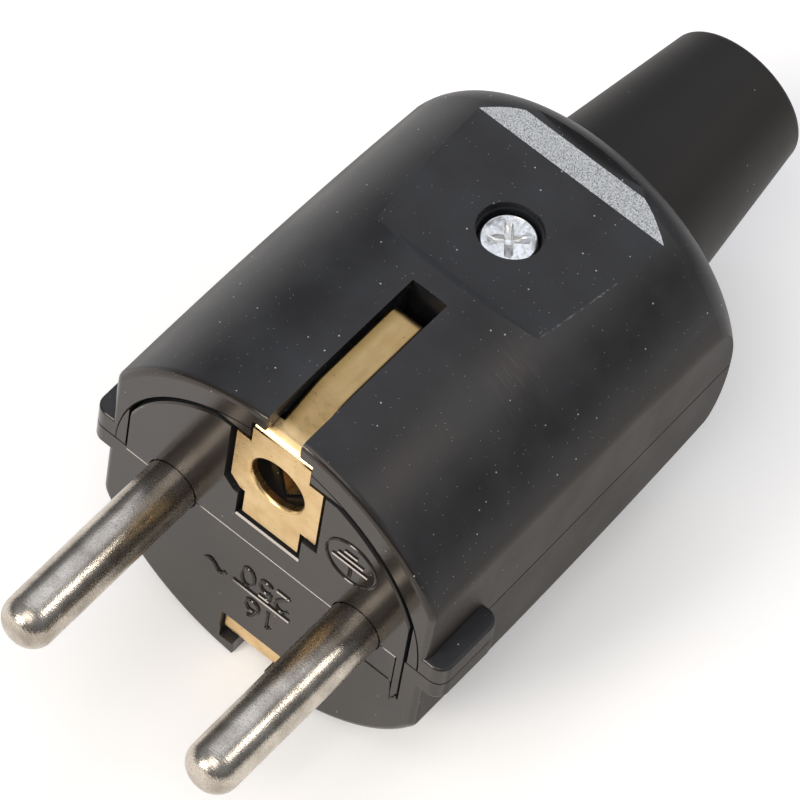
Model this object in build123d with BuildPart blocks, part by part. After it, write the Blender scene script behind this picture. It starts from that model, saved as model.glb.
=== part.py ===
from build123d import *
import os
from math import radians, tan

# A rewirable earthed two-pin plug: two moulded half shells on a level joint, held by one screw.
# Millimetres. +X runs from pin to pin, the pins point to -Y, and the screw head faces +Z.
# The origin is the middle of the engagement face, half way between the pins.

# Pins and earth hole
pin_spacing = 19.0
pin_diameter = 4.8
pin_length = 19.0
pin_tip_edge = 1.95
pin_root_radius = 2.2
pin_seat_depth = 0.4
pin_clearance = 0.1
pin_flange_radius = 3.2
pin_flange_start = 4.0
pin_flange_thickness = 2.0
terminal_radius = 3.0
terminal_end = 18.0
terminal_screw_y = 14.0
wire_hole_radius = 1.6
wire_hole_depth = 9.0
earth_height = 10.0
earth_hole_radius = 2.65
earth_hole_rim = 0.35

# Barrel of the housing
front_radius = 18.3
belly_radius = 18.15
belly_y = 19.0
rear_radius = 17.1
body_length = 40.2
ring_setback = 0.15
front_edge = 0.6
shoulder_radius = 3.8
shoulder_rise = 0.26
flat_half_width = 16.3
flat_rear_half_width = 15.95
flat_blend = 2.0
side_wall = 1.7
seam_width = 0.16
seam_depth = 0.15

# Guide tabs on the side flats
tab_reach = 1.8
tab_length = 7.2
tab_half_height = 2.15
tab_corner = 1.2
tab_edge = 0.25

# Grip facets, top and bottom
facet_front = 21.4
facet_front_height = 16.1
facet_rear = 35.85
facet_rear_height = 14.55
front_ramp_angle = 50.0
rear_ramp_angle = 47.0
collar_height = 16.14
collar_end = 38.05

# Cavity
opening_radius = 15.55
opening_ceiling = 14.2
rear_cavity_start = 18.0
rear_cavity_radius = 14.3
rear_ceiling = 12.4
cavity_end = 35.2

# Pin carrier, which closes the upper half of the face
carrier_depth = 8.0
carrier_gap = 0.3
carrier_edge = 0.15
tongue_thickness = 0.6
tongue_reach = 5.9
tongue_clearance = 0.12

# Earth contact: face plate, folded straps and their slots
sheet = 0.8
plate_front = 0.3
plate_half_width = 4.37
plate_neck_half_width = 2.93
plate_foot_half_width = 2.82
plate_shoulder = 13.5
plate_step = 6.1
plate_chamfer = 1.05
plate_foot = 3.2
plate_gap = 0.45
recess_clearance = 0.2
fold_height = 15.9
fold_radius = 0.9
strap_half_width = 1.55
strap_height = 17.5
strap_rise_end = 6.0
strap_rise_radius = 6.0
strap_end = 15.6
strap_end_radius = 0.5
strap_leg = 3.6
strap_edge = 0.3
slot_half_width = 1.75
slot_end = 17.75
slot_floor_clearance = 0.1
slot_through = 13.4
pocket_half_width = 3.08
pocket_height = 16.5
lower_plate_front = 0.5
lower_hook_top = 12.7

# Earth sleeve, bridge and terminal
sleeve_outer_radius = 3.1
sleeve_mouth_radius = 2.8
sleeve_grip_radius = 2.42
sleeve_taper_end = 5.3
sleeve_start = 1.9
sleeve_leaf_root = 3.7
sleeve_leaf_half_width = 2.3
sleeve_slit = 0.8
sleeve_slit_length = 10.0
sleeve_clearance = 0.25
bridge_half_width = 2.4
bridge_clearance = 0.2
rib_wall = 2.0
rib_top = 5.4
earth_tab_height = 4.0
earth_tab_half_width = 3.2
earth_tab_length = 7.4
washer_side = 6.2
washer_corner = 0.8

# Screws and the nut
screw_y = 28.1
screw_radius = 1.25
screw_head_radius = 2.18
screw_head_height = 1.7
screw_head_top = 14.2
screw_seat_radius = 2.65
screw_mouth_radius = 2.85
screw_mouth_depth = 0.9
screw_hole_clearance = 0.2
screw_point_reach = 0.6
boss_radius = 3.6
nut_flats = 5.0
nut_thickness = 2.0
nut_top = 10.8
nut_clearance = 0.1
earth_screw_radius = 1.45
earth_screw_head_radius = 2.8
earth_screw_head = 2.0
earth_screw_length = 8.0
clamp_screw_radius = 1.2
clamp_screw_head_radius = 2.0
clamp_screw_head = 1.6
clamp_screw_length = 9.0
head_edge = 0.4
shank_chamfer = 0.4
thread_clearance = 0.05

# Cord clamp
clamp_y = 33.1
clamp_width = 2.6
clamp_half_length = 10.0
clamp_thickness = 2.0
clamp_rest = 1.0
clamp_arch_radius = 4.4
clamp_screw_x = 7.9
clamp_boss_radius = 1.95
saddle_wall = 1.0

# Cord guard
guard_neck_radius = 9.15
guard_tip_radius = 6.6
guard_end = 60.3
guard_tip_edge = 0.6
guard_bore_radius = 4.3
guard_flange_radius = 11.0
guard_flange_start = 36.8
guard_flange_thickness = 1.4
guard_clearance = 0.12

# Places that follow from the sizes above
pin_radius = pin_diameter / 2
pin_places = {"left": -pin_spacing / 2, "right": pin_spacing / 2}
pin_flange_end = pin_flange_start + pin_flange_thickness
inner_half_width = flat_half_width - side_wall
tongue_x = inner_half_width - carrier_gap - tongue_thickness / 2
strap_middle = strap_height - sheet / 2
fold_middle = fold_height - sheet / 2
slot_floor = strap_height - sheet - slot_floor_clearance
plate_back = plate_front + sheet
fold_reach = sheet + 2 * fold_radius
rise_opening_end = strap_rise_end + recess_clearance
bridge_back = strap_end + sheet
earth_screw_y = bridge_back + earth_tab_length / 2
washer_under = earth_tab_height + sheet / 2
screw_seat = screw_head_top - screw_head_height
guard_flange_end = guard_flange_start + guard_flange_thickness
overrun = 1.0
big = 3 * front_radius


def across(y):
    """The plane square to the cord axis at y: its own x is X and its own y is Z."""
    return Plane.XZ.offset(-y)


def cut_back(start, end):
    """Cut the pending sketch, drawn at start, back to end."""
    extrude(amount=start - end, mode=Mode.SUBTRACT)


def arch(radius, half_width, height):
    """A disc cut off by two side flats and by a level ceiling and floor."""
    Circle(radius)
    Rectangle(2 * half_width, 2 * height, mode=Mode.INTERSECT)


def rim_break(y, radius, turned):
    """The ring cut from a round front rim at y; turned is 1 where material lies outside, else -1."""
    with BuildPart() as ring:
        with BuildSketch(Plane.YZ):
            Polygon((y, radius), (y, radius + turned * carrier_edge), (y + carrier_edge, radius), align=None)
        revolve(axis=Axis.Y)
    return ring.part


def facet_height(y):
    """Height of the sloping grip facet at y."""
    slope = (facet_rear_height - facet_front_height) / (facet_rear - facet_front)
    return facet_front_height + slope * (y - facet_front)


# The pair of guide tabs, one block across the front with its level edges broken.
with BuildPart() as tabs:
    with BuildSketch(Plane.XY.offset(-tab_half_height)):
        with Locations((0, ring_setback + tab_length / 2)):
            RectangleRounded(2 * (flat_half_width + tab_reach), tab_length, tab_corner)
    extrude(amount=2 * tab_half_height)
    fillet(tabs.faces().filter_by(Axis.Z).edges(), radius=tab_edge)

# The outer form that both shells share: a slightly bellied barrel with side flats, guide tabs,
# a grip facet top and bottom, and a collar ahead of the rounded shoulder.
with BuildPart() as barrel:
    with BuildSketch(Plane.YZ):
        with BuildLine():
            ThreePointArc((ring_setback, front_radius), (belly_y, belly_radius), (body_length, rear_radius))
            Polyline(
                (body_length, rear_radius),
                (body_length, 0),
                (ring_setback, 0),
                (ring_setback, front_radius),
            )
        make_face()
    revolve(axis=Axis.Y)
    with BuildSketch(Plane.XY.offset(-big)):
        Polygon(
            (flat_half_width, 0),
            (flat_rear_half_width, body_length),
            (-flat_rear_half_width, body_length),
            (-flat_half_width, 0),
            align=None,
        )
    extrude(amount=2 * big, mode=Mode.INTERSECT)
    long_edges = barrel.edges().filter_by(lambda edge: edge.length > body_length / 2)
    fillet(long_edges.filter_by(lambda edge: abs(edge.center().X) > flat_blend), radius=flat_blend)
    fillet(barrel.faces().sort_by(Axis.Y)[0].edges(), radius=front_edge)
    with BuildSketch(Plane.YZ):
        with BuildLine():
            shoulder_top = rear_radius + shoulder_rise
            shoulder_y = body_length - shoulder_radius
            CenterArc((shoulder_y, shoulder_top - shoulder_radius), shoulder_radius, 0, 90)
            Polyline(
                (shoulder_y, shoulder_top),
                (shoulder_y, shoulder_top + overrun),
                (body_length + overrun, shoulder_top + overrun),
                (body_length + overrun, shoulder_top - shoulder_radius),
                (body_length, shoulder_top - shoulder_radius),
            )
        make_face()
    revolve(axis=Axis.Y, mode=Mode.SUBTRACT)
    rise = front_radius - facet_front_height + overrun
    front_ramp_top = facet_front - rise / tan(radians(front_ramp_angle))
    collar_start = facet_rear + (collar_height - facet_rear_height) / tan(radians(rear_ramp_angle))
    for side in (1, -1):
        with BuildSketch(Plane.YZ.offset(-big)):
            with BuildLine():
                Polyline(
                    (front_ramp_top, side * (facet_front_height + rise)),
                    (facet_front, side * facet_front_height),
                    (facet_rear, side * facet_rear_height),
                    (collar_start, side * collar_height),
                    (collar_end, side * collar_height),
                    (collar_end, side * (facet_front_height + rise)),
                    close=True,
                )
            make_face()
        extrude(amount=2 * big, mode=Mode.SUBTRACT)
    add(tabs.part)

# The joint line: a fine groove all round the outline at mid height.
joint_face = split(barrel.part, bisect_by=Plane.XY).faces().sort_by(Axis.Z)[0]
with BuildPart() as joint_groove:
    with BuildSketch():
        add(joint_face)
        offset(amount=-seam_depth, mode=Mode.SUBTRACT)
    extrude(amount=seam_width / 2, both=True)

# Room for the two pins and their flanges, half in the carrier and half in the lower shell.
with BuildPart() as pin_room:
    for x in pin_places.values():
        for radius, start, end in (
            (pin_radius, 0, pin_seat_depth),
            (pin_root_radius, pin_seat_depth, pin_flange_start),
            (pin_flange_radius, pin_flange_start - pin_clearance, pin_flange_end + pin_clearance),
            (terminal_radius, pin_flange_end, carrier_depth),
        ):
            with BuildSketch(across(start)):
                with Locations((x, 0)):
                    Circle(radius + pin_clearance)
            extrude(amount=start - end)

# Rear cavity for the wires, and the mouth with its groove that holds the cord guard.
with BuildPart() as rear_room:
    with BuildSketch(across(rear_cavity_start)):
        arch(rear_cavity_radius, inner_half_width, rear_ceiling)
    extrude(amount=rear_cavity_start - cavity_end)
    with BuildSketch(across(cavity_end)):
        Circle(guard_neck_radius + guard_clearance)
    extrude(amount=cavity_end - body_length)
    with BuildSketch(across(guard_flange_start - guard_clearance)):
        Circle(guard_flange_radius + guard_clearance)
    extrude(amount=-guard_flange_thickness - 2 * guard_clearance)

# Upper shell: open in front where the pin carrier and the earth plate stand.
with BuildPart() as upper_shell:
    add(barrel.part)
    split(bisect_by=Plane.XY, keep=Keep.TOP)
    add(joint_groove.part, mode=Mode.SUBTRACT)
    with BuildSketch(across(0)):
        arch(opening_radius, inner_half_width, opening_ceiling)
    cut_back(0, rear_cavity_start)
    add(rim_break(ring_setback, opening_radius, 1), mode=Mode.SUBTRACT)
    add(rear_room.part, mode=Mode.SUBTRACT)
    # Boss, hole, seat and mouth of the housing screw
    with BuildSketch():
        with Locations((0, screw_y)):
            Circle(boss_radius)
    extrude(amount=rear_ceiling + overrun)
    for radius, floor in (
        (screw_radius + screw_hole_clearance, 0),
        (screw_seat_radius, screw_seat),
        (screw_mouth_radius, facet_height(screw_y) - screw_mouth_depth),
    ):
        with BuildSketch(Plane.XY.offset(floor)):
            with Locations((0, screw_y)):
                Circle(radius)
        extrude(amount=big, mode=Mode.SUBTRACT)
    # Slot for the upper strap, open below at both ends, where the strap dips into the housing
    with BuildSketch(Plane.XY.offset(slot_floor)):
        with Locations((0, slot_end / 2)):
            Rectangle(2 * slot_half_width, slot_end)
    extrude(amount=big, mode=Mode.SUBTRACT)
    with BuildSketch(Plane.XY.offset(opening_ceiling)):
        with Locations((0, rise_opening_end / 2)):
            Rectangle(2 * slot_half_width, rise_opening_end)
        with Locations((0, (slot_end + slot_through) / 2)):
            Rectangle(2 * slot_half_width, slot_end - slot_through)
    extrude(amount=big, mode=Mode.SUBTRACT)
    with BuildSketch(across(0)):
        with Locations((0, pocket_height / 2)):
            Rectangle(2 * pocket_half_width, pocket_height)
    cut_back(0, plate_front + fold_reach)

# Lower shell: carries the pins in cradles, the nut, the earth bridge and the cord clamp.
with BuildPart() as lower_shell:
    add(barrel.part)
    split(bisect_by=Plane.XY, keep=Keep.BOTTOM)
    add(joint_groove.part, mode=Mode.SUBTRACT)
    with BuildSketch(across(carrier_depth)):
        arch(opening_radius, inner_half_width, opening_ceiling)
    cut_back(carrier_depth, rear_cavity_start)
    add(rear_room.part, mode=Mode.SUBTRACT)
    # The lower half of the face stands as far forward as the pin carrier above it
    with BuildSketch(across(0)):
        arch(opening_radius - carrier_gap, inner_half_width - carrier_gap, big)
        with Locations((0, -big / 2)):
            Rectangle(2 * big, big, mode=Mode.INTERSECT)
    extrude(amount=-carrier_depth)
    add(pin_room.part, mode=Mode.SUBTRACT)
    # Groove for the tongue of the pin carrier, and the broken edge of the joint on the face
    with BuildSketch(across(0)):
        with Locations((tongue_x, -(tongue_reach + tongue_clearance) / 2)):
            Rectangle(tongue_thickness + 2 * tongue_clearance, tongue_reach + tongue_clearance)
    cut_back(0, carrier_depth)
    with BuildSketch(Plane.YZ.offset(-inner_half_width + carrier_gap)):
        Polygon((0, 0), (carrier_edge, 0), (0, -carrier_edge), align=None)
    extrude(amount=2 * (inner_half_width - carrier_gap), mode=Mode.SUBTRACT)
    # Pillar for the housing screw, with the nut pocket below it
    with BuildSketch():
        with Locations((0, screw_y)):
            Circle(boss_radius)
    extrude(amount=-rear_ceiling - overrun)
    with BuildSketch():
        with Locations((0, screw_y)):
            Circle(screw_radius + screw_hole_clearance)
    extrude(amount=-big, mode=Mode.SUBTRACT)
    with BuildSketch(Plane.XY.offset(-nut_top)):
        with Locations((0, screw_y)):
            RegularPolygon(nut_flats / 2 + nut_clearance, 6, major_radius=False)
    extrude(amount=-big, mode=Mode.SUBTRACT)
    # Slot and front pocket for the lower strap
    with BuildSketch(Plane.XY.offset(-slot_floor)):
        with Locations((0, slot_end / 2)):
            Rectangle(2 * slot_half_width, slot_end)
    extrude(amount=-big, mode=Mode.SUBTRACT)
    with BuildSketch(Plane.XY.offset(-opening_ceiling)):
        with Locations((0, rise_opening_end / 2)):
            Rectangle(2 * slot_half_width, rise_opening_end)
        with Locations((0, (slot_end + slot_through) / 2)):
            Rectangle(2 * slot_half_width, slot_end - slot_through)
    extrude(amount=-big, mode=Mode.SUBTRACT)
    pocket_top = lower_hook_top - recess_clearance
    with BuildSketch(across(0)):
        with Locations((0, -(pocket_top + pocket_height) / 2)):
            Rectangle(2 * pocket_half_width, pocket_height - pocket_top)
    cut_back(0, lower_plate_front + fold_reach)
    # Slotted rib that holds the foot of the earth bridge and the leg of the lower strap
    with BuildSketch(Plane.XY.offset(-opening_ceiling)):
        with Locations((0, strap_end)):
            Rectangle(2 * (bridge_half_width + rib_wall), 2 * (sheet + rib_wall))
            Rectangle(
                2 * (bridge_half_width + bridge_clearance),
                2 * (sheet + bridge_clearance),
                mode=Mode.SUBTRACT,
            )
    extrude(amount=opening_ceiling - rib_top)
    # Saddle and two screw bosses of the cord clamp
    with BuildSketch(across(clamp_y - clamp_width / 2)):
        with Locations((0, -rear_ceiling / 2)):
            Rectangle(2 * (clamp_arch_radius + saddle_wall), rear_ceiling)
        Circle(clamp_arch_radius, mode=Mode.SUBTRACT)
    extrude(amount=-clamp_width)
    with BuildSketch(Plane.XY.offset(clamp_rest)):
        with Locations((-clamp_screw_x, clamp_y), (clamp_screw_x, clamp_y)):
            Circle(clamp_boss_radius)
    extrude(amount=-clamp_rest - rear_ceiling)
    with BuildSketch(Plane.XY.offset(clamp_rest)):
        with Locations((-clamp_screw_x, clamp_y), (clamp_screw_x, clamp_y)):
            Circle(clamp_screw_radius + thread_clearance)
    extrude(amount=-clamp_screw_length, mode=Mode.SUBTRACT)


def plate_outline(grow):
    """Outline of the earth plate, X across and Z up, grown by a margin on every side."""
    neck = plate_neck_half_width + grow
    body = plate_half_width + grow
    foot = plate_foot_half_width + grow
    with BuildSketch() as outline:
        with BuildLine():
            Polyline(
                (-neck, fold_middle),
                (-neck, plate_shoulder + grow),
                (-body, plate_shoulder + grow),
                (-body, plate_step + plate_chamfer - grow),
                (-body + plate_chamfer, plate_step - grow),
                (-foot, plate_step - grow),
                (-foot, plate_foot - grow),
                (foot, plate_foot - grow),
                (foot, plate_step - grow),
                (body, plate_step - grow),
                (body, plate_shoulder + grow),
                (neck, plate_shoulder + grow),
                (neck, fold_middle),
                close=True,
            )
        make_face()
    return outline.sketch_local


# Pin carrier: the upper half of the face, with half bores for the pins and a bed for the plate.
with BuildPart() as pin_carrier:
    with BuildSketch(across(0)):
        arch(opening_radius - carrier_gap, inner_half_width - carrier_gap, opening_ceiling - carrier_gap)
        with Locations((0, big / 2)):
            Rectangle(2 * big, big, mode=Mode.INTERSECT)
        with Locations((tongue_x, -tongue_reach / 2)):
            Rectangle(tongue_thickness, tongue_reach)
    extrude(amount=-carrier_depth)
    add(pin_room.part, mode=Mode.SUBTRACT)
    with BuildSketch(across(0)):
        add(plate_outline(plate_gap))
    cut_back(0, plate_back + recess_clearance)
    with BuildSketch(across(0)):
        with Locations((0, earth_height)):
            Circle(sleeve_outer_radius + sleeve_clearance)
    cut_back(0, carrier_depth)
    add(rim_break(0, opening_radius - carrier_gap, -1), mode=Mode.SUBTRACT)
    bed_half_width = plate_foot_half_width + plate_gap
    bed_floor = plate_foot - plate_gap
    with BuildSketch(Plane.YZ.offset(-bed_half_width)):
        Polygon((0, bed_floor), (carrier_edge, bed_floor), (0, bed_floor - carrier_edge), align=None)
    extrude(amount=2 * bed_half_width, mode=Mode.SUBTRACT)


def turned_pin(x):
    """A contact pin turned from bar: domed tip, necked root, flange and a drilled terminal end."""
    with BuildPart() as pin:
        with BuildSketch(Plane.XY):
            with BuildLine():
                Polyline(
                    (x, -pin_length),
                    (x + pin_radius, -pin_length),
                    (x + pin_radius, 0),
                    (x + pin_root_radius, 0),
                    (x + pin_root_radius, pin_flange_start),
                    (x + pin_flange_radius, pin_flange_start),
                    (x + pin_flange_radius, pin_flange_end),
                    (x + terminal_radius, pin_flange_end),
                    (x + terminal_radius, terminal_end),
                    (x, terminal_end),
                    close=True,
                )
            make_face()
        revolve(axis=Axis((x, 0, 0), (0, 1, 0)))
        tip = pin.edges().filter_by(GeomType.CIRCLE).sort_by(Axis.Y)[0]
        fillet(tip, radius=pin_tip_edge)
        with BuildSketch(across(terminal_end)):
            with Locations((x, 0)):
                Circle(wire_hole_radius)
        extrude(amount=wire_hole_depth, mode=Mode.SUBTRACT)
        with BuildSketch(Plane.XY):
            with Locations((x, terminal_screw_y)):
                Circle(clamp_screw_radius + thread_clearance)
        extrude(amount=big, mode=Mode.SUBTRACT)
    return pin.part


def machine_screw(x, y, seat, radius, head_radius, head_height, length):
    """A cheese-head screw standing on its seat with its shank pointing down."""
    with BuildPart() as screw:
        with BuildSketch(Plane.XY.offset(seat)):
            with Locations((x, y)):
                Circle(head_radius)
        extrude(amount=head_height)
        crown = screw.edges().filter_by(GeomType.CIRCLE).sort_by(Axis.Z)[-1]
        chamfer(crown, length=head_edge)
        with BuildSketch(Plane.XY.offset(seat)):
            with Locations((x, y)):
                Circle(radius)
        extrude(amount=-length)
        point = screw.edges().filter_by(GeomType.CIRCLE).sort_by(Axis.Z)[0]
        chamfer(point, length=shank_chamfer)
    return screw.part


def folded_strap(front, foot, side):
    """A leg at front that rises from foot, a broad fold, a narrow rising strap and its rear leg."""
    fold_end = front + sheet + fold_radius
    with BuildPart() as strip:
        with BuildSketch(Plane.YZ):
            with BuildLine():
                FilletPolyline(
                    (front + sheet / 2, side * foot),
                    (front + sheet / 2, side * fold_middle),
                    (strap_rise_end, side * strap_middle),
                    (strap_end - sheet / 2, side * strap_middle),
                    (strap_end - sheet / 2, side * (strap_middle - strap_leg)),
                    radius=[fold_radius, strap_rise_radius, strap_end_radius],
                )
            trace(line_width=sheet)
        extrude(amount=plate_neck_half_width, both=True)
        with BuildSketch(Plane.XY.offset(-big)):
            for place in (-1, 1):
                with Locations((place * (strap_half_width + big / 2), fold_end + big / 2)):
                    Rectangle(big, big)
        extrude(amount=2 * big, mode=Mode.SUBTRACT)
        outer = side * strap_height
        near = (outer - strap_edge, outer + strap_edge)
        fillet(strip.edges().filter_by(Axis.Y).filter_by_position(Axis.Z, *near), radius=strap_edge)
    return strip.part


# The two contact pins and their terminal screws
pins = {}
terminal_screws = {}
for place, x in pin_places.items():
    pins[place] = turned_pin(x)
    terminal_screws[place] = machine_screw(
        x,
        terminal_screw_y,
        terminal_radius,
        clamp_screw_radius,
        clamp_screw_head_radius,
        clamp_screw_head,
        terminal_radius - wire_hole_radius / 2,
    )

# Front earth contact: the plate with its rimmed hole, folded over into the upper side strap.
with BuildPart() as front_earth_contact:
    with BuildSketch(across(plate_front)):
        add(plate_outline(0))
        with Locations((0, earth_height)):
            Circle(earth_hole_radius, mode=Mode.SUBTRACT)
    extrude(amount=-sheet)
    rims = front_earth_contact.edges().filter_by(GeomType.CIRCLE)
    fillet(rims.sort_by(Axis.Y)[0], radius=earth_hole_rim)
    add(folded_strap(plate_front, plate_shoulder, 1))

# Lower earth strap: a short hook in the lower pocket and the same strap below.
lower_earth_strap = folded_strap(lower_plate_front, lower_hook_top, -1)

# Earth sleeve: a rolled, slit brass tube that grips the socket's earth pin.
with BuildPart() as earth_sleeve:
    with BuildSketch(Plane.YZ):
        with BuildLine():
            Polyline(
                (sleeve_start, earth_height + sleeve_mouth_radius),
                (sleeve_start, earth_height + sleeve_outer_radius),
                (strap_end, earth_height + sleeve_outer_radius),
                (strap_end, earth_height + sleeve_grip_radius),
                (sleeve_taper_end, earth_height + sleeve_grip_radius),
                close=True,
            )
        make_face()
    revolve(axis=Axis((0, 0, earth_height), (0, 1, 0)))
    with BuildSketch(Plane.XY.offset(earth_height)):
        with Locations((0, plate_front)):
            Rectangle(4 * sleeve_outer_radius, 2 * sleeve_slit_length)
    extrude(amount=sleeve_slit / 2, both=True, mode=Mode.SUBTRACT)
    # The mouth ends in a pointed leaf above and below
    with BuildSketch(Plane.XY):
        for side in (-1, 1):
            Polygon(
                (0, sleeve_start),
                (side * sleeve_leaf_half_width, sleeve_leaf_root),
                (side * 2 * sleeve_outer_radius, sleeve_leaf_root),
                (side * 2 * sleeve_outer_radius, sleeve_start - overrun),
                (0, sleeve_start - overrun),
                align=None,
            )
    extrude(amount=big, mode=Mode.SUBTRACT)

# Earth bridge: the upright strip that joins sleeve and both straps, with the terminal tab.
with BuildPart() as earth_bridge:
    with BuildSketch(across(strap_end)):
        Rectangle(2 * bridge_half_width, 2 * (opening_ceiling - bridge_clearance))
    extrude(amount=-sheet)
    with BuildSketch(Plane.XY.offset(washer_under - sheet)):
        with Locations((0, earth_screw_y - sheet / 2)):
            Rectangle(2 * earth_tab_half_width, earth_tab_length + sheet)
        with Locations((0, earth_screw_y)):
            Circle(earth_screw_radius + thread_clearance, mode=Mode.SUBTRACT)
    extrude(amount=sheet)

# Square clamp washer and the earth terminal screw on the tab
with BuildPart() as earth_clamp_washer:
    with BuildSketch(Plane.XY.offset(washer_under)):
        with Locations((0, earth_screw_y)):
            RectangleRounded(washer_side, washer_side, washer_corner)
            Circle(earth_screw_radius + thread_clearance, mode=Mode.SUBTRACT)
    extrude(amount=sheet)
earth_terminal_screw = machine_screw(
    0,
    earth_screw_y,
    washer_under + sheet,
    earth_screw_radius,
    earth_screw_head_radius,
    earth_screw_head,
    earth_screw_length,
)

# Housing screw and the hexagon nut in the pocket of the lower shell
housing_screw = machine_screw(
    0,
    screw_y,
    screw_seat,
    screw_radius,
    screw_head_radius,
    screw_head_height,
    screw_seat + nut_top + nut_thickness + screw_point_reach,
)
with BuildPart() as housing_nut:
    with BuildSketch(Plane.XY.offset(-nut_top)):
        with Locations((0, screw_y)):
            RegularPolygon(nut_flats / 2, 6, major_radius=False)
            Circle(screw_radius + thread_clearance, mode=Mode.SUBTRACT)
    extrude(amount=-nut_thickness)

# Cord clamp: a moulded bar with an arch over the cord, and its two screws
with BuildPart() as cord_clamp:
    with BuildSketch(across(clamp_y - clamp_width / 2)):
        with Locations((0, clamp_rest + clamp_thickness / 2)):
            Rectangle(2 * clamp_half_length, clamp_thickness)
        Circle(clamp_arch_radius + clamp_thickness)
        with Locations((0, clamp_rest - big / 2)):
            Rectangle(2 * big, big, mode=Mode.SUBTRACT)
        Circle(clamp_arch_radius, mode=Mode.SUBTRACT)
    extrude(amount=-clamp_width)
    with BuildSketch(Plane.XY.offset(clamp_rest)):
        with Locations((-clamp_screw_x, clamp_y), (clamp_screw_x, clamp_y)):
            Circle(clamp_screw_radius + thread_clearance)
    extrude(amount=clamp_thickness, mode=Mode.SUBTRACT)
clamp_screws = {}
for place, side in (("left", -1), ("right", 1)):
    clamp_screws[place] = machine_screw(
        side * clamp_screw_x,
        clamp_y,
        clamp_rest + clamp_thickness,
        clamp_screw_radius,
        clamp_screw_head_radius,
        clamp_screw_head,
        clamp_screw_length,
    )

# Cord guard: a soft tapered sleeve whose flange sits in the groove of both shells
with BuildPart() as cord_guard:
    with BuildSketch(Plane.YZ):
        with BuildLine():
            Polyline(
                (cavity_end + guard_clearance, guard_bore_radius),
                (cavity_end + guard_clearance, guard_neck_radius),
                (guard_flange_start, guard_neck_radius),
                (guard_flange_start, guard_flange_radius),
                (guard_flange_end, guard_flange_radius),
                (guard_flange_end, guard_neck_radius),
                (body_length, guard_neck_radius),
                (guard_end, guard_tip_radius),
                (guard_end, guard_bore_radius),
                close=True,
            )
        make_face()
    revolve(axis=Axis.Y)
    tip_rims = cord_guard.edges().filter_by(GeomType.CIRCLE).group_by(Axis.Y)[-1]
    fillet(tip_rims.sort_by(SortBy.RADIUS)[-1], radius=guard_tip_edge)

pieces = {
    "upper_shell": upper_shell.part,
    "lower_shell": lower_shell.part,
    "pin_carrier": pin_carrier.part,
    "left_pin": pins["left"],
    "right_pin": pins["right"],
    "left_terminal_screw": terminal_screws["left"],
    "right_terminal_screw": terminal_screws["right"],
    "front_earth_contact": front_earth_contact.part,
    "lower_earth_strap": lower_earth_strap,
    "earth_sleeve": earth_sleeve.part,
    "earth_bridge": earth_bridge.part,
    "earth_clamp_washer": earth_clamp_washer.part,
    "earth_terminal_screw": earth_terminal_screw,
    "housing_screw": housing_screw,
    "housing_nut": housing_nut.part,
    "cord_clamp": cord_clamp.part,
    "left_clamp_screw": clamp_screws["left"],
    "right_clamp_screw": clamp_screws["right"],
    "cord_guard": cord_guard.part,
}
os.makedirs("parts", exist_ok=True)
for name, piece in pieces.items():
    piece.label = name
    export_step(piece, f"parts/{name}.step")
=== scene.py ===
import bpy
import numpy as np
from math import cos, pi, radians, sin
from mathutils import Matrix, Vector


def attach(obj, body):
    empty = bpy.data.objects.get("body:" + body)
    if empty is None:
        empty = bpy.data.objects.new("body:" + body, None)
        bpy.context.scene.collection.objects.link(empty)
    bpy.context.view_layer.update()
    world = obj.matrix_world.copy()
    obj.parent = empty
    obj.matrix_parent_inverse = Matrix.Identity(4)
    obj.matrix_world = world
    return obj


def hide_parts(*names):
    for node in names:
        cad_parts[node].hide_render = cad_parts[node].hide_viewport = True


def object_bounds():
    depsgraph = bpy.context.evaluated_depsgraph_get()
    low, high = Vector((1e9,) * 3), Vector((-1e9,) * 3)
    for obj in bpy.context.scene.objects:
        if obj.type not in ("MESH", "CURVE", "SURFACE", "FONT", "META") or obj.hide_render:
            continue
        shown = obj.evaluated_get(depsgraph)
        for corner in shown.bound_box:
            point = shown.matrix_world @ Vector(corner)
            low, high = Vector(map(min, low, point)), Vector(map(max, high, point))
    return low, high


# A black rewirable mains plug with two round nickel pins, brass earth contacts on its face and
# sides, one zinc screw and a soft cord guard. It lies on a pale floor under soft studio light.
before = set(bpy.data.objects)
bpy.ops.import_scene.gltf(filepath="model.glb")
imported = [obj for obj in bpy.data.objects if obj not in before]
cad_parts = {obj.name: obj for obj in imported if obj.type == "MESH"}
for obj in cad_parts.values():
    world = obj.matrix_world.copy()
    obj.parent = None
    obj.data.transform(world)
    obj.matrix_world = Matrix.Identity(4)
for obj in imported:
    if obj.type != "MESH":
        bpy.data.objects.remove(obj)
cad_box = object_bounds()
mm = 0.001

# The studio. A plain pale tabletop, with the plug seen from above its face. A low softbox in front
# on the left lights the ramp and the rims, a large one above the front lights the floor, a cool
# one overhead shows in the tops, and a small one behind on the right draws streaks on the pins.
floor_half_width = 1.5
floor_hex = "#f9f6f2"
floor_roughness = 0.8
floor_reflection = 0.1
floor_lift = 0.22
view_azimuth = radians(31.03)
view_elevation = radians(57.76)
view_roll = radians(10.44)
view_distance = 611.0 * mm
nearest_seen = 50 * mm
picture_pixels = 800
lens_pixels = 7766.0
origin_pixel = (263.6, 554.4)
sensor_width = 36.0
room_hex = "#e8eef8"
room_low_glow = 0.12
room_high_glow = 0.52
lamps = {
    "low_front_softbox": ((-0.29, -0.92, 0.42), 0.34, 6.5, "#fffaf4"),
    "high_front_softbox": ((0.05, -0.55, 0.95), 0.7, 4.2, "#fff9f2"),
    "ceiling_softbox": ((-0.33, 0.45, 0.95), 0.9, 2.1, "#eaf0ff"),
    "rear_pin_lamp": ((0.53, 0.46, 0.72), 0.22, 1.25, "#fffaf4"),
}


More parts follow.
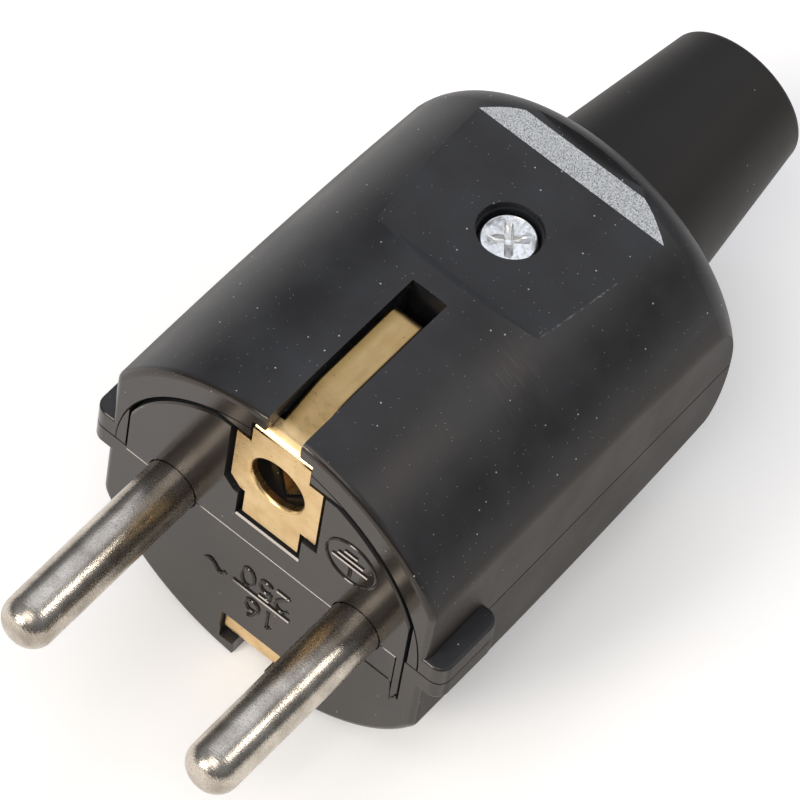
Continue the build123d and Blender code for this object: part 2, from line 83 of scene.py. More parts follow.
def paint(hex_colour):
    """Turn an sRGB hex colour into linear light: x/12.92 near black, else ((x+0.055)/1.055)^2.4."""
    shares = [int(hex_colour[i:i + 2], 16) / 255 for i in (1, 3, 5)]
    return [x / 12.92 if x < 0.04045 else ((x + 0.055) / 1.055) ** 2.4 for x in shares] + [1.0]


def add_node(tree, kind, sockets=None, **settings):
    """Add a shader node. A socket takes a plain value, another node's output, or a node, which
    stands for its first output. On a Mix node, socket 0 is the share, 2 and 3 are the two numbers
    that it mixes, 6 and 7 the two colours, and the mixed colour is output 2."""
    made = tree.nodes.new("ShaderNode" + kind)
    for name, value in settings.items():
        setattr(made, name, value)
    for name, value in (sockets or {}).items():
        if isinstance(value, bpy.types.Node):
            value = value.outputs[0]
        if isinstance(value, bpy.types.NodeSocket):
            tree.links.new(value, made.inputs[name])
        else:
            made.inputs[name].default_value = value
    return made


def new_material(name):
    """A material with a plain Principled shader: returns the material, its tree and the shader."""
    made = bpy.data.materials.new(name)
    made.use_nodes = True
    return made, made.node_tree, made.node_tree.nodes["Principled BSDF"]


def new_piece(name, points, faces, material, smooth=True):
    """A mesh object at the origin from an array of points and a list of faces."""
    mesh = bpy.data.meshes.new(name)
    mesh.from_pydata(points.tolist(), [], [list(face) for face in faces])
    mesh.polygons.foreach_set("use_smooth", [smooth] * len(mesh.polygons))
    mesh.materials.append(material)
    mesh.update()
    made = bpy.data.objects.new(name, mesh)
    bpy.context.scene.collection.objects.link(made)
    return made


tabletop, tree, shader = new_material("pale_tabletop")
shader.inputs["Base Color"].default_value = paint(floor_hex)
shader.inputs["Roughness"].default_value = floor_roughness
shader.inputs["Specular IOR Level"].default_value = floor_reflection
ray = add_node(tree, "LightPath")
seen = ray.outputs["Is Camera Ray"]
for kind in ("Is Glossy Ray", "Is Transmission Ray"):
    seen = add_node(tree, "Math", {0: seen, 1: ray.outputs[kind]}, operation="ADD").outputs[0]
lift = add_node(tree, "Math", {0: seen, 1: floor_lift}, operation="MULTIPLY")
shader.inputs["Emission Color"].default_value = paint("#ffffff")
tree.links.new(lift.outputs[0], shader.inputs["Emission Strength"])
floor_z = cad_box[0][2]
corners = np.array([(-1, -1, 0), (1, -1, 0), (1, 1, 0), (-1, 1, 0)]) * floor_half_width
floor = new_piece("floor", corners + (0, 0, floor_z), [(0, 1, 2, 3)], tabletop)

right = Vector((cos(view_azimuth), sin(view_azimuth), 0))
back = Vector((
    sin(view_azimuth) * cos(view_elevation),
    -cos(view_azimuth) * cos(view_elevation),
    sin(view_elevation),
))
turn = Matrix.Rotation(-view_roll, 3, "Z") @ Matrix((right, back.cross(right), back))
middle = picture_pixels / 2
origin_seen = Vector((
    (origin_pixel[0] - middle) / lens_pixels,
    (middle - origin_pixel[1]) / lens_pixels,
    -1,
)) * view_distance
stand = Matrix.Translation(-(turn.transposed() @ origin_seen))
eye = bpy.data.objects.new("camera", bpy.data.cameras.new("camera"))
eye.data.sensor_width = sensor_width
eye.data.lens = sensor_width * lens_pixels / picture_pixels
eye.data.clip_start = nearest_seen
eye.matrix_world = stand @ turn.transposed().to_4x4()
bpy.context.scene.collection.objects.link(eye)
bpy.context.scene.camera = eye

for name, (place, width, watts, hex_colour) in lamps.items():
    data = bpy.data.lights.new(name, "AREA")
    data.size = width
    data.energy = watts
    data.color = paint(hex_colour)[:3]
    lamp = bpy.data.objects.new(name, data)
    lamp.location = place
    lamp.rotation_euler = Vector(place).to_track_quat("Z", "Y").to_euler()
    bpy.context.scene.collection.objects.link(lamp)
room = bpy.data.worlds.new("room")
room.use_nodes = True
tree = room.node_tree
walls = tree.nodes["Background"]
walls.inputs["Color"].default_value = paint(room_hex)
way = add_node(tree, "TexCoord")
height = add_node(tree, "SeparateXYZ", {0: way.outputs["Generated"]})
glow = add_node(tree, "MapRange", {
    "Value": height.outputs["Z"], "From Min": 0.1, "From Max": 0.75,
    "To Min": room_low_glow, "To Max": room_high_glow,
})
tree.links.new(glow.outputs[0], walls.inputs["Strength"])
bpy.context.scene.world = room
bpy.context.scene.view_settings.view_transform = "Standard"

# The housing. Two shells and the insert that carries the pins, compression-moulded from black
# phenolic: satin barrel, glossy face and slot walls, a spark-eroded ramp behind the screw whose
# fine sparkle is painted into its colour as pale glints between dark shade, and the dust and
# hairline scratches of a used plug.
housing_hex = "#1b1c1f"
housing_worn_hex = "#2a2c2f"
# A painted warm brown reflection on the face and the side flats.
painted_reflection_hex = "#231e1a"
# The ramp's pits are painted pale and dark: painted glints and painted shade.
ramp_glint_hex = "#bdc2c7"
ramp_pit_shade_hex = "#63676c"
# Painted light on the step down to the grip facet.
step_painted_light_hex = "#414246"
# A painted glint along the grip facet's right border.
border_glint_hex = "#6a6a6d"
scuff_hex = "#6c6c6e"
scratch_hex = "#3c3c3e"
dust_hex = "#b5b4b0"
black_reflection = 0.46
black_reflection_hex = "#fff6ee"
satin_roughness = 0.42
face_roughness = 0.15
flat_roughness = 0.58
wall_roughness = 0.22
top_from = 0.3
wall_below = 0.35
wear_patch = 5 * mm
chip_size = 0.45 * mm
ramp_start = 34.6 * mm
ramp_end = 38.0 * mm
step_middle = 21.0 * mm
step_reach = 1.6 * mm
facet_front = 21.4
border_length = 14.45
border_offset = 8.22
border_slope = 0.0904
border_bow = 0.00307
# Where the painted glint runs along the border, in mm behind the facet's front.
glint_middle = 4.5
glint_reach = 4.3
flat_from = 15 * mm
face_depth = 1.2 * mm
slot_half_width = 2.95 * mm
slot_start = 0.5 * mm
scuff_middle = (9.2 * mm, 17.4 * mm, 16.0 * mm)
scuff_reach = 4.5 * mm
scuff_turn = radians(-35)
streak_size = (2.4 * mm, 0.2 * mm, 2.0 * mm)
# Spark erosion leaves pits of about 0.04 mm and a moulding grain of about 0.1 mm. Both are drawn
# about two to three times as coarse, the finest that shows at this distance.
pit_size = 0.12 * mm
grain_size = 0.22 * mm


def where_all(tree, *masks):
    """The product of several masks, which is 1 only where each of them is 1."""
    product = masks[0]
    for mask in masks[1:]:
        product = add_node(tree, "Math", {0: product, 1: mask}, operation="MULTIPLY")
    return product


def dust(tree, spot, cell, radius, share):
    """Round specks, one to a cell of a random grid of the given cell size. A spot is dusty where
    it is nearer to the cell's seed than the radius, and only in the given share of the cells."""
    cells = add_node(tree, "TexVoronoi", {"Vector": spot, "Scale": 1 / cell})
    near = add_node(tree, "MapRange", {
        "Value": cells.outputs["Distance"],
        "From Min": radius / cell, "From Max": 0.6 * radius / cell,
    })
    tint = add_node(tree, "SeparateColor", {0: cells.outputs["Color"]})
    chosen = add_node(tree, "Math", {0: tint, 1: share}, operation="LESS_THAN")
    return where_all(tree, near, chosen)


def hairlines(tree, spot, turned, length, width, share):
    """Short straight scratches seen from above, all along one direction: specks on a flat grid
    that is turned about Z and stretched, so that each is as long and thin as asked. The grid is
    twice as fine as the speck's own reach, so the speck runs half its length to either side."""
    reach = 0.05
    along = add_node(tree, "Mapping", {
        "Vector": spot, "Rotation": (0, 0, turned), "Scale": (reach / length, reach / width, 1),
    })
    cells = add_node(
        tree, "TexVoronoi", {"Vector": along, "Scale": 2.0}, voronoi_dimensions="2D",
    )
    near = add_node(tree, "MapRange", {
        "Value": cells.outputs["Distance"], "From Min": reach, "From Max": 0.0,
    })
    tint = add_node(tree, "SeparateColor", {0: cells.outputs["Color"]})
    chosen = add_node(tree, "Math", {0: tint.outputs[1], 1: share}, operation="LESS_THAN")
    return where_all(tree, near, chosen)


def coat(material, *names):
    """Give CAD nodes a material in place of the one that they come with."""
    for name in names:
        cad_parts[name].data.materials.clear()
        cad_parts[name].data.materials.append(material)


phenolic, tree, shader = new_material("black_phenolic_moulded")
coords = add_node(tree, "TexCoord")
spot = coords.outputs["Object"]
place = add_node(tree, "SeparateXYZ", {0: spot})
facing = add_node(tree, "SeparateXYZ", {0: coords.outputs["Normal"]})
cloud = add_node(tree, "TexNoise", {"Vector": spot, "Scale": 1 / wear_patch, "Detail": 4})
worn = add_node(tree, "MapRange", {"Value": cloud, "From Min": 0.35, "From Max": 0.7})
upward = add_node(
    tree, "Math", {0: facing.outputs["Z"], 1: top_from}, operation="GREATER_THAN",
)
# The eroded ramp is the steep band across the top, between the grip facet and the collar.
past_start = add_node(
    tree, "Math", {0: place.outputs["Y"], 1: ramp_start}, operation="GREATER_THAN",
)
before_end = add_node(tree, "Math", {0: place.outputs["Y"], 1: ramp_end}, operation="LESS_THAN")
steep = add_node(
    tree, "MapRange", {"Value": facing.outputs["Y"], "From Min": -0.2, "From Max": -0.5},
)
ramp = where_all(tree, past_start, before_end, steep, upward)
pits = add_node(tree, "TexNoise", {"Vector": spot, "Scale": 1 / pit_size, "Detail": 2})
lit_pit = add_node(tree, "MapRange", {"Value": pits, "From Min": 0.30, "From Max": 0.62})
# Painted sparkle: lit pits get a pale painted glint, the rest a dark painted shade.
painted_sparkle = add_node(
    tree, "Mix", {0: lit_pit, 6: paint(ramp_pit_shade_hex), 7: paint(ramp_glint_hex)},
    data_type="RGBA",
)
# The short step down to the grip facet faces away from the front lamps and is painted paler:
# painted light on its shade.
stepped = add_node(
    tree, "MapRange", {"Value": facing.outputs["Y"], "From Min": 0.3, "From Max": 0.6},
)
near_step = add_node(
    tree, "Math", {0: place.outputs["Y"], 1: step_middle, 2: step_reach}, operation="COMPARE",
)
step = where_all(tree, stepped, near_step, upward)
# A painted glint follows the facet's border on the right, broken up into short pieces. There, t mm
# behind the facet's front, x in mm is offset + slope t + bow t (length - t).
behind = add_node(
    tree, "Math", {0: place.outputs["Y"], 1: 1 / mm, 2: -facet_front}, operation="MULTIPLY_ADD",
)
to_end = add_node(tree, "Math", {0: border_length, 1: behind}, operation="SUBTRACT")
bow = add_node(tree, "Math", {0: to_end, 1: behind}, operation="MULTIPLY")
border = add_node(
    tree, "Math", {0: behind, 1: border_slope, 2: border_offset}, operation="MULTIPLY_ADD",
)
border = add_node(tree, "Math", {0: bow, 1: border_bow, 2: border}, operation="MULTIPLY_ADD")
gap = add_node(tree, "Math", {0: place.outputs["X"], 1: 1 / mm}, operation="MULTIPLY")
gap = add_node(tree, "Math", {0: gap, 1: border}, operation="SUBTRACT")
gap = add_node(tree, "Math", {0: gap}, operation="ABSOLUTE")
on_border = add_node(tree, "MapRange", {"Value": gap, "From Min": 0.09, "From Max": 0.02})
along = add_node(tree, "Math", {0: behind, 1: glint_middle, 2: glint_reach}, operation="COMPARE")
chips = add_node(tree, "TexNoise", {"Vector": spot, "Scale": 1 / chip_size, "Detail": 2})
chipped = add_node(tree, "MapRange", {"Value": chips, "From Min": 0.42, "From Max": 0.62})
border_glint_mask = where_all(tree, on_border, along, upward, chipped)
# The side flats and the face get a painted warm brown reflection, and the flats are duller.
beside = add_node(tree, "Math", {0: place.outputs["X"]}, operation="ABSOLUTE")
far_out = add_node(tree, "Math", {0: beside, 1: flat_from}, operation="GREATER_THAN")
level = add_node(tree, "Math", {0: facing.outputs["X"]}, operation="ABSOLUTE")
upright = add_node(tree, "MapRange", {"Value": level, "From Min": 0.8, "From Max": 0.98})
flat = where_all(tree, far_out, upright)
front = add_node(
    tree, "MapRange", {"Value": facing.outputs["Y"], "From Min": -0.3, "From Max": -0.6},
)
near_front = add_node(
    tree, "Math", {0: place.outputs["Y"], 1: face_depth}, operation="LESS_THAN",
)
is_face = where_all(tree, front, near_front)
painted_warm_reflection = add_node(tree, "Math", {0: flat, 1: is_face}, operation="MAXIMUM")
# The corner of the grip facet is scuffed: pale streaks that thin out within a few millimetres.
reach = add_node(tree, "VectorMath", {0: spot, 1: scuff_middle}, operation="DISTANCE")
scuffed = add_node(tree, "MapRange", {
    "Value": reach.outputs["Value"], "From Min": scuff_reach, "From Max": 0, "To Max": 0.17,
})
streaks_at = add_node(tree, "Mapping", {
    "Vector": spot, "Rotation": (0, 0, scuff_turn), "Scale": [1 / size for size in streak_size],
})
streaks = add_node(tree, "TexNoise", {"Vector": streaks_at, "Scale": 1, "Detail": 3})
streaked = add_node(tree, "MapRange", {"Value": streaks, "From Min": 0.48, "From Max": 0.74})
scuff = where_all(tree, scuffed, streaked)
# Hairlines run two ways over everything, and dust lies on it, most on what faces up.
one_way = hairlines(tree, spot, radians(52), length=2.4 * mm, width=0.035 * mm, share=0.14)
other_way = hairlines(tree, spot, radians(-24), length=1.6 * mm, width=0.03 * mm, share=0.14)
scratched = add_node(tree, "Math", {0: one_way, 1: other_way}, operation="MAXIMUM")
large_specks = dust(tree, spot, cell=0.9 * mm, radius=0.085 * mm, share=0.2)
small_specks = dust(tree, spot, cell=0.36 * mm, radius=0.035 * mm, share=0.3)
specks = add_node(tree, "Math", {0: large_specks, 1: small_specks}, operation="MAXIMUM")
settled = add_node(tree, "MapRange", {
    "Value": facing.outputs["Z"], "From Min": -0.3, "From Max": 0.5, "To Min": 0.25, "To Max": 1.0,
})
dusty = where_all(tree, specks, settled)
tone = paint(housing_hex)
for mask, colour in (
    (worn, paint(housing_worn_hex)), (ramp, painted_sparkle.outputs[2]), (step, paint(step_painted_light_hex)),
    (border_glint_mask, paint(border_glint_hex)), (painted_warm_reflection, paint(painted_reflection_hex)), (scuff, paint(scuff_hex)),
    (scratched, paint(scratch_hex)), (dusty, paint(dust_hex)),
):
    tone = add_node(tree, "Mix", {0: mask, 6: tone, 7: colour}, data_type="RGBA").outputs[2]
tree.links.new(tone, shader.inputs["Base Color"])
# The walls of the strap slots are the sideways surfaces near the middle, behind the face.
narrow = add_node(tree, "Math", {0: beside, 1: slot_half_width}, operation="LESS_THAN")
rise = add_node(tree, "Math", {0: facing.outputs["Z"]}, operation="ABSOLUTE")
sideways = add_node(tree, "Math", {0: rise, 1: wall_below}, operation="LESS_THAN")
inside = add_node(tree, "Math", {0: place.outputs["Y"], 1: slot_start}, operation="GREATER_THAN")
wall = where_all(tree, sideways, narrow, inside)
rough = satin_roughness
for mask, roughness in ((is_face, face_roughness), (flat, flat_roughness), (wall, wall_roughness)):
    rough = add_node(tree, "Mix", {0: mask, 2: rough, 3: roughness})
smear = add_node(tree, "MapRange", {
    "Value": cloud, "From Min": 0.3, "From Max": 0.7, "To Min": -0.03, "To Max": 0.05,
})
rough = add_node(tree, "Math", {0: rough, 1: smear}, operation="ADD")
tree.links.new(rough.outputs[0], shader.inputs["Roughness"])
grain = add_node(tree, "TexNoise", {"Vector": spot, "Scale": 1 / grain_size, "Detail": 2})
satin = add_node(tree, "Bump", {"Height": grain, "Strength": 0.1, "Distance": 0.01 * mm})
eroded = add_node(tree, "Bump", {
    "Height": pits, "Strength": ramp, "Distance": 0.08 * mm, "Normal": satin,
})
tree.links.new(eroded.outputs[0], shader.inputs["Normal"])
shader.inputs["Specular IOR Level"].default_value = black_reflection
shader.inputs["Specular Tint"].default_value = paint(black_reflection_hex)
coat(phenolic, "upper_shell", "lower_shell", "pin_carrier")

# The marks on the face. The rating, a wave sign and the earth sign in a ring are moulded upside
# down beside the pins as fine sunk strokes. The face under them is flat, so each stroke is a
# shallow trough between two lips. The approval mark's place stays bare inside its thin border.
stroke_half_width = 0.15  # like all sizes of the marks, in millimetres
stroke_height = 0.115
stroke_profile = np.array([
    (-1.0, -0.2), (-1.0, 0.85), (-0.8, 1.0), (0.0, 0.06), (0.8, 1.0), (1.0, 0.85), (1.0, -0.2),
])
numeral_height = 2.5
numeral_width = 1.3
upper_row = -4.75
middle_row = -6.6
lower_row = -8.85
wave_start = -5.35
wave_length = 2.1
wave_rise = 0.45
ring_middle = (8.1, 8.0)
ring_radius = 2.5
earth_bars = ((7.69, 6.25, 9.8), (8.42, 6.75, 9.3), (9.15, 7.35, 8.65))
row_share = 1.1
ring_share = 0.8
border_share = 0.4


def arc(centre, radii, start, end, count=14):
    """Points of an ellipse arc: centre + (a cos t, b sin t), t from start to end in degrees."""
    t = np.radians(np.linspace(start, end, count))
    return np.stack([centre[0] + radii[0] * np.cos(t), centre[1] + radii[1] * np.sin(t)], 1)


def stroke(path, share):
    """A profile carried along a flat path on the face. Each path point (x, z) is moved across the
    path, along the left-hand normal of its tangent, by the profile's first number, and out of the
    face by its second, both times the share of the full stroke. The two ends are closed."""
    tangent = np.gradient(path, axis=0)
    tangent /= np.linalg.norm(tangent, axis=1, keepdims=True)
    across = np.stack([-tangent[:, 1], tangent[:, 0]], 1)
    offset = stroke_profile[None, :, 0, None] * share * stroke_half_width * across[:, None, :]
    flat = path[:, None, :] + offset
    out = np.broadcast_to(-stroke_profile[None, :, 1] * share * stroke_height, flat.shape[:2])
    points = np.stack([flat[..., 0], out, flat[..., 1]], -1).reshape(-1, 3)
    steps, sides = len(path), len(stroke_profile)
    i, j = np.meshgrid(np.arange(steps - 1), np.arange(sides - 1), indexing="ij")
    first = (i * sides + j).ravel()
    quads = np.stack([first, first + sides, first + sides + 1, first + 1], 1)
    ends = [list(range(sides)), list(range(steps * sides - 1, (steps - 1) * sides - 1, -1))]
    return points, quads.tolist() + ends


w, h = numeral_width / 2, numeral_height / 2
numerals = {
    "0": [arc((0, 0), (w, h), 90, 450, 36)],
    "1": [
        np.linspace((-0.5 * w, 0.6 * h), (0.1 * w, h), 6),
        np.linspace((0.1 * w, h), (0.1 * w, -h), 8),
    ],
    "2": [
        np.concatenate([
            arc((0, 0.45 * h), (w, 0.55 * h), 165, -25),
            np.linspace((0.75 * w, 0.1 * h), (-w, -h), 10),
        ]),
        np.linspace((-w, -h), (w, -h), 8),
    ],
    "5": [
        np.linspace((0.9 * w, h), (-0.7 * w, h), 8),
        np.linspace((-0.7 * w, h), (-0.85 * w, 0.1 * h), 8),
        arc((-0.05 * w, -0.38 * h), (w, 0.6 * h), 140, -145, 20),
    ],
    "6": [
        arc((0, -0.4 * h), (w, 0.6 * h), 90, 450, 30),
        arc((0.9 * w, -0.3 * h), (1.88 * w, 1.3 * h), 178, 100, 14),
    ],
}
paths = []
for sign, x, z in (
    ("2", 2.45, upper_row), ("5", 0.75, upper_row), ("0", -1.1, upper_row),
    ("1", 1.35, lower_row), ("6", -0.3, lower_row),
):
    paths += [(np.array([x, z]) - path, 1.0) for path in numerals[sign]]
sway = np.linspace(0, 1, 24)
wave = np.stack([
    wave_start + wave_length * sway, middle_row + wave_rise * np.sin(2 * pi * sway),
], 1)
paths.append((wave, row_share))
paths.append((np.linspace((-2.5, middle_row), (3.37, middle_row), 12), row_share))
paths.append((arc(ring_middle, (ring_radius, ring_radius), 0, 360, 60), ring_share))
for z, x_from, x_to in earth_bars:
    paths.append((np.linspace((x_from, z), (x_to, z), 8), 1.0))
paths.append((np.linspace((8.1, 7.6), (8.1, 6.0), 8), 1.0))
paths.append((np.linspace((10.8, -3.8), (13.3, -3.8), 8), border_share))
paths.append((np.linspace((13.5, -4.0), (13.7, -6.6), 8), border_share))
all_points, all_faces, start = [], [], 0
for path, share in paths:
    points, faces = stroke(path, share)
    all_points.append(points)
    all_faces += [[start + corner for corner in face] for face in faces]
    start += len(points)
marks = new_piece("face_marks", np.concatenate(all_points) * mm, all_faces, phenolic, smooth=False)
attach(marks, "root")

# The contact pins. Drawn brass bar with a turned tip, nickel-plated. The plating keeps the long
# draw lines and the tool's rings on the tip, and is speckled and warm in tone from use. The real
# lines and rings are a few hundredths of a millimetre apart and are drawn as coarse as they show.
nickel_hex = "#c8bfb2"
nickel_dulled_hex = "#a0968a"
nickel_fleck_hex = "#86817a"
draw_line_size = (0.14 * mm, 7 * mm, 0.14 * mm)
tool_ring_size = (3 * mm, 0.13 * mm, 3 * mm)
pin_speckle = 0.13 * mm
pin_patch = 2.4 * mm
tip_start = -16.9 * mm
tip_full = -17.2 * mm

nickel, tree, shader = new_material("nickel_plated_turned_brass")
spot = add_node(tree, "TexCoord").outputs["Object"]
rings_at = add_node(tree, "Mapping", {
    "Vector": spot, "Scale": [1 / size for size in tool_ring_size],
})
rings = add_node(tree, "TexNoise", {"Vector": rings_at, "Scale": 1, "Detail": 2})
lines_at = add_node(tree, "Mapping", {
    "Vector": spot, "Scale": [1 / size for size in draw_line_size],
})
lines = add_node(tree, "TexNoise", {"Vector": lines_at, "Scale": 1, "Detail": 2})
place = add_node(tree, "SeparateXYZ", {0: spot})
tip = add_node(tree, "MapRange", {
    "Value": place.outputs["Y"], "From Min": tip_start, "From Max": tip_full,
})
speckle = add_node(tree, "TexNoise", {"Vector": spot, "Scale": 1 / pin_speckle, "Detail": 2})
patches = add_node(tree, "TexNoise", {"Vector": spot, "Scale": 1 / pin_patch, "Detail": 3})
dulled = add_node(tree, "MapRange", {"Value": patches, "From Min": 0.4, "From Max": 0.68})
flecked = add_node(tree, "MapRange", {
    "Value": speckle, "From Min": 0.5, "From Max": 0.75, "To Max": 0.6,
})
tone = paint(nickel_hex)
for mask, hex_colour in ((dulled, nickel_dulled_hex), (flecked, nickel_fleck_hex)):
    tone = add_node(
        tree, "Mix", {0: mask, 6: tone, 7: paint(hex_colour)}, data_type="RGBA",
    ).outputs[2]
tree.links.new(tone, shader.inputs["Base Color"])
rough = add_node(tree, "MapRange", {
    "Value": speckle, "From Min": 0.3, "From Max": 0.7, "To Min": 0.16, "To Max": 0.34,
})
tree.links.new(rough.outputs[0], shader.inputs["Roughness"])
drawn = add_node(tree, "Bump", {"Height": lines, "Strength": 0.4, "Distance": 0.010 * mm})
turned = add_node(tree, "Bump", {
    "Height": rings, "Strength": tip, "Distance": 0.03 * mm, "Normal": drawn,
})
pitted = add_node(tree, "Bump", {
    "Height": speckle, "Strength": 0.7, "Distance": 0.016 * mm, "Normal": turned,
})
tree.links.new(pitted.outputs[0], shader.inputs["Normal"])
shader.inputs["Metallic"].default_value = 1.0
coat(nickel, "left_pin", "right_pin")

# The earth contacts. Stamped and folded from satin rolled sheet brass: the face plate that runs
# back over the top as a strap, the plate below, and the sleeve and bridge behind them. The rolling
# lines are a few hundredths of a millimetre apart and are drawn as coarse as they show.
plate_colours = ("#e6c794", "#d6b47e", "#957a4c")
plate_lines = (0.8 * mm, 2.5 * mm, 0.12 * mm)
sleeve_colours = ("#f0d29a", "#cfaa6c", "#d8b478")
sleeve_lines = (0.3 * mm, 3 * mm, 0.3 * mm)
brass_speck_hex = "#5b4626"
tarnish_patch = 2.2 * mm


def sheet_brass(name, colours, rolled):
    """Rolled sheet brass: fine lines along the rolling direction, cloudy tarnish between a light
    and a dark tone, and small dark specks. Behind the face a painted shade darkens the brass, most
    along its left side, where the strap lies in its slot. colours are the light, the dark and the
    painted shade's tone, and rolled holds the line lengths along X, Y and Z."""
    light_hex, dark_hex, strap_shade_hex = colours
    made, tree, shader = new_material(name)
    spot = add_node(tree, "TexCoord").outputs["Object"]
    lines_at = add_node(tree, "Mapping", {"Vector": spot, "Scale": [1 / size for size in rolled]})
    lines = add_node(tree, "TexNoise", {"Vector": lines_at, "Scale": 1, "Detail": 2})
    tarnish = add_node(tree, "TexNoise", {"Vector": spot, "Scale": 1 / tarnish_patch, "Detail": 4})
    dulled = add_node(tree, "MapRange", {"Value": tarnish, "From Min": 0.38, "From Max": 0.66})
    place = add_node(tree, "SeparateXYZ", {0: spot})
    behind = add_node(tree, "MapRange", {
        "Value": place.outputs["Y"], "From Min": 1.6 * mm, "From Max": 2.4 * mm,
    })
    left_side = add_node(tree, "MapRange", {
        "Value": place.outputs["X"], "From Min": -0.4 * mm, "From Max": -1.1 * mm,
        "To Min": 0.7, "To Max": 1.0,
    })
    # A painted shade behind the face, strongest along the strap's left side.
    strap_shade_mask = where_all(tree, behind, left_side)
    specks = dust(tree, spot, cell=0.45 * mm, radius=0.06 * mm, share=0.35)
    tone = paint(light_hex)
    for mask, hex_colour in ((dulled, dark_hex), (strap_shade_mask, strap_shade_hex), (specks, brass_speck_hex)):
        tone = add_node(
            tree, "Mix", {0: mask, 6: tone, 7: paint(hex_colour)}, data_type="RGBA",
        ).outputs[2]
    tree.links.new(tone, shader.inputs["Base Color"])
    rough = add_node(tree, "MapRange", {
        "Value": lines, "From Min": 0.3, "From Max": 0.7, "To Min": 0.24, "To Max": 0.40,
    })
    tree.links.new(rough.outputs[0], shader.inputs["Roughness"])
    bump = add_node(tree, "Bump", {"Height": lines, "Strength": 0.3, "Distance": 0.006 * mm})
    tree.links.new(bump.outputs[0], shader.inputs["Normal"])
    shader.inputs["Metallic"].default_value = 1.0
    return made


plate_brass = sheet_brass("stamped_sheet_brass", plate_colours, plate_lines)
sleeve_brass = sheet_brass("drawn_tube_brass", sleeve_colours, sleeve_lines)
coat(plate_brass, "front_earth_contact", "lower_earth_strap")
coat(sleeve_brass, "earth_sleeve", "earth_bridge")

# The small screws, the washer and the nut. Steel turned and zinc-plated, with the grainy bluish
# passivated skin of barrel plating. Its grain is drawn at 0.22 mm, the finest that shows.
zinc_hex = "#f2f1ee"
zinc_stain_hex = "#b3b2af"
zinc_grain = 0.22 * mm
zinc_stain = 1.1 * mm
zinc_pits = 0.1 * mm

zinc, tree, shader = new_material("zinc_plated_steel")
spot = add_node(tree, "TexCoord").outputs["Object"]
crystals = add_node(tree, "TexVoronoi", {"Vector": spot, "Scale": 1 / zinc_grain})
tint = add_node(tree, "SeparateColor", {0: crystals.outputs["Color"]})
stain = add_node(tree, "TexNoise", {"Vector": spot, "Scale": 1 / zinc_stain, "Detail": 4})
spread = where_all(tree, tint, stain)
tone = add_node(
    tree, "Mix", {0: spread, 6: paint(zinc_hex), 7: paint(zinc_stain_hex)}, data_type="RGBA",
)
tree.links.new(tone.outputs[2], shader.inputs["Base Color"])
rough = add_node(tree, "MapRange", {"Value": tint, "To Min": 0.28, "To Max": 0.5})
tree.links.new(rough.outputs[0], shader.inputs["Roughness"])
pits = add_node(tree, "TexNoise", {"Vector": spot, "Scale": 1 / zinc_pits, "Detail": 2})
bump = add_node(tree, "Bump", {"Height": pits, "Strength": 0.5, "Distance": 0.015 * mm})
tree.links.new(bump.outputs[0], shader.inputs["Normal"])
shader.inputs["Metallic"].default_value = 1.0
coat(
    zinc, "housing_nut", "left_terminal_screw", "right_terminal_screw", "earth_terminal_screw",
    "earth_clamp_washer", "left_clamp_screw", "right_clamp_screw",
)

# The housing screw. Cold-headed steel, zinc-plated, with a worn cross recess that has thrown up
# burrs and radial marks on its flat head. It draws the two shells together through their bosses.
screw_x, screw_y = 0.0, 28.1  # like all sizes of the screw, in millimetres
head_top, head_under, point_z = 14.2, 12.5, -13.4
head_radius, shank_radius, point_radius = 2.36, 1.25, 0.3
hub_radius = 0.04
recess_half_width, recess_reach, recess_depth = 0.36, 1.5, 0.5
recess_flank = 0.16
recess_turn = radians(38)
burr_height = 0.11
burr_waves = (2, 3, 5, 7, 11)
screw_sides = 160
head_rings = 44
burrs = np.random.default_rng(11)


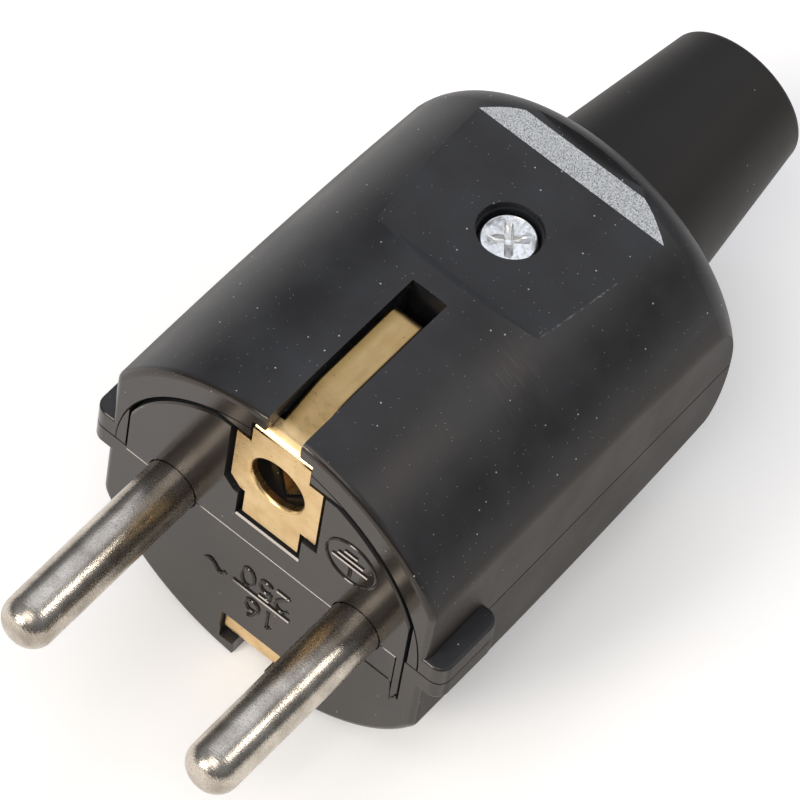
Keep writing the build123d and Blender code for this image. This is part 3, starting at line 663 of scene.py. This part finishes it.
def screw_surface():
    """Rings round the screw's axis, from the middle of the head out, down its side, under it and
    along the shank to the point. On the head each point drops by the cross recess: the deeper of
    two slots, each full depth along its line and none a half width off it, shallower outward,
    and the burrs are added: five cosine waves round the head, each turned a little with radius."""
    head = np.linspace(hub_radius, head_radius - 0.22, head_rings)
    below = np.array([
        (head_radius - 0.12, head_top - 0.04), (head_radius - 0.03, head_top - 0.14),
        (head_radius, head_top - 0.3), (head_radius, head_under + 0.1),
        (head_radius - 0.1, head_under), (shank_radius, head_under),
        (shank_radius, point_z + 1.0), (point_radius, point_z),
    ])
    radii = np.concatenate([head, below[:, 0]])
    heights = np.concatenate([np.full(head_rings, head_top), below[:, 1]])
    turn_round = np.linspace(0, 2 * pi, screw_sides, endpoint=False)
    r, t = np.meshgrid(radii, turn_round, indexing="ij")
    z = np.repeat(heights[:, None], screw_sides, 1)
    on_head = (np.arange(len(radii)) < head_rings)[:, None]
    drop = np.zeros_like(r)
    for line in (0, pi / 2):
        along = np.abs(r * np.cos(t - recess_turn - line))
        across = np.abs(r * np.sin(t - recess_turn - line))
        slot = np.clip((recess_half_width - across) / recess_flank, 0, 1)
        slope = np.clip(1.15 - along / recess_reach, 0, 1)
        drop = np.maximum(drop, recess_depth * slot * slope)
    fade = np.clip((r - 0.5) / 0.5, 0, 1) * np.clip((head_radius - r) / 0.5, 0, 1)
    phases = burrs.uniform(0, 2 * pi, len(burr_waves))
    twists = burrs.normal(0, 1.5, len(burr_waves))
    raised = np.zeros_like(r)
    for count, phase, twist in zip(burr_waves, phases, twists):
        raised += burr_height / count * np.cos(count * t + phase + twist * r) * fade
    z = z + on_head * (raised - burr_height / 2 - drop)
    points = np.stack([screw_x + r * np.cos(t), screw_y + r * np.sin(t), z], -1).reshape(-1, 3)
    i, j = np.meshgrid(np.arange(len(radii) - 1), np.arange(screw_sides), indexing="ij")
    after = (j + 1) % screw_sides
    quads = np.stack([
        i * screw_sides + j, (i + 1) * screw_sides + j,
        (i + 1) * screw_sides + after, i * screw_sides + after,
    ], -1).reshape(-1, 4).tolist()
    last = (len(radii) - 1) * screw_sides
    caps = [list(range(screw_sides)), list(range(last + screw_sides - 1, last - 1, -1))]
    return points, quads + caps


points, faces = screw_surface()
screw = new_piece("cross_recess_screw", points * mm, faces, zinc, smooth=False)
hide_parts("housing_screw")
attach(screw, "root")

# The cord guard and the clamp bar. Moulded soft black PVC. Its skin is dull, slightly grained and
# warm in its reflections, and it takes the dust.
pvc_hex = "#191818"
pvc_faded_hex = "#222120"
pvc_dust_hex = "#8b8a86"
pvc_grain = 0.25 * mm
pvc_patch = 4 * mm

pvc, tree, shader = new_material("soft_black_pvc_moulded")
spot = add_node(tree, "TexCoord").outputs["Object"]
skin = add_node(tree, "TexNoise", {"Vector": spot, "Scale": 1 / pvc_grain, "Detail": 3})
cloud = add_node(tree, "TexNoise", {"Vector": spot, "Scale": 1 / pvc_patch, "Detail": 4})
specks = dust(tree, spot, cell=0.9 * mm, radius=0.08 * mm, share=0.2)
tone = paint(pvc_hex)
for mask, hex_colour in ((cloud, pvc_faded_hex), (specks, pvc_dust_hex)):
    tone = add_node(
        tree, "Mix", {0: mask, 6: tone, 7: paint(hex_colour)}, data_type="RGBA",
    ).outputs[2]
tree.links.new(tone, shader.inputs["Base Color"])
rough = add_node(tree, "MapRange", {"Value": cloud, "To Min": 0.48, "To Max": 0.62})
tree.links.new(rough.outputs[0], shader.inputs["Roughness"])
bump = add_node(tree, "Bump", {"Height": skin, "Strength": 0.3, "Distance": 0.02 * mm})
tree.links.new(bump.outputs[0], shader.inputs["Normal"])
shader.inputs["Specular IOR Level"].default_value = black_reflection
shader.inputs["Specular Tint"].default_value = paint(black_reflection_hex)
coat(pvc, "cord_guard", "cord_clamp")
